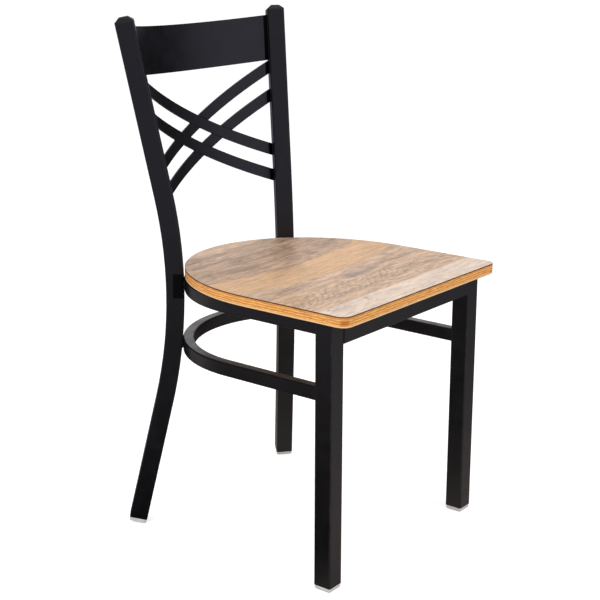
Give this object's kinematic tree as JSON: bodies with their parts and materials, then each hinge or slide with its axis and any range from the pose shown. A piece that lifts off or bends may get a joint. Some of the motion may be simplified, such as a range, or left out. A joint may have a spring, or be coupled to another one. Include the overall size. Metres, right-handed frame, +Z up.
{
  "type": "dining chair",
  "caption": "Armless cross back dining chair with a black bent tube frame, curved metal back and a wood-look plywood seat.",
  "frame": {"origin": "on the floor, midway between left and right and between the front edge of the seat and the rear edge of the top rail", "axes": "+Z up, +Y from the front of the seat to the back, +X to the right of a person who stands in front and looks at the chair's front"},
  "size_m": [0.4334, 0.5016, 0.8491],
  "materials": {
    "frame_steel": "semi-gloss black powder coat",
    "plywood": "clear-coated plywood edge",
    "laminate": "satin wood-pattern surface in planks",
    "glide_plastic": "matt grey",
    "cap_plastic": "satin black",
    "screw_steel": "zinc plated"
  },
  "bodies": {
    "root": {"front_leg_left": "frame_steel", "front_leg_right": "frame_steel", "rear_upright_left": "frame_steel", "rear_upright_right": "frame_steel", "front_rail": "frame_steel", "seat_frame_hoop": "frame_steel", "stretcher_hoop": "frame_steel", "top_rail": "frame_steel", "falling_slat_upper": "frame_steel", "falling_slat_lower": "frame_steel", "rising_slat_upper_left": "frame_steel", "rising_slat_upper_middle": "frame_steel", "rising_slat_upper_right": "frame_steel", "rising_slat_lower_left": "frame_steel", "rising_slat_lower_middle": "frame_steel", "rising_slat_lower_right": "frame_steel", "seat_tab_left_front": "frame_steel", "seat_tab_left_rear": "frame_steel", "seat_tab_right_front": "frame_steel", "seat_tab_right_rear": "frame_steel", "seat_board": "plywood", "seat_laminate": "laminate", "seat_screws": "screw_steel", "front_glide_left": "glide_plastic", "front_glide_right": "glide_plastic", "rear_glide_left": "glide_plastic", "rear_glide_right": "glide_plastic", "upright_cap_left": "cap_plastic", "upright_cap_right": "cap_plastic"}
  },
  "joints": []
}
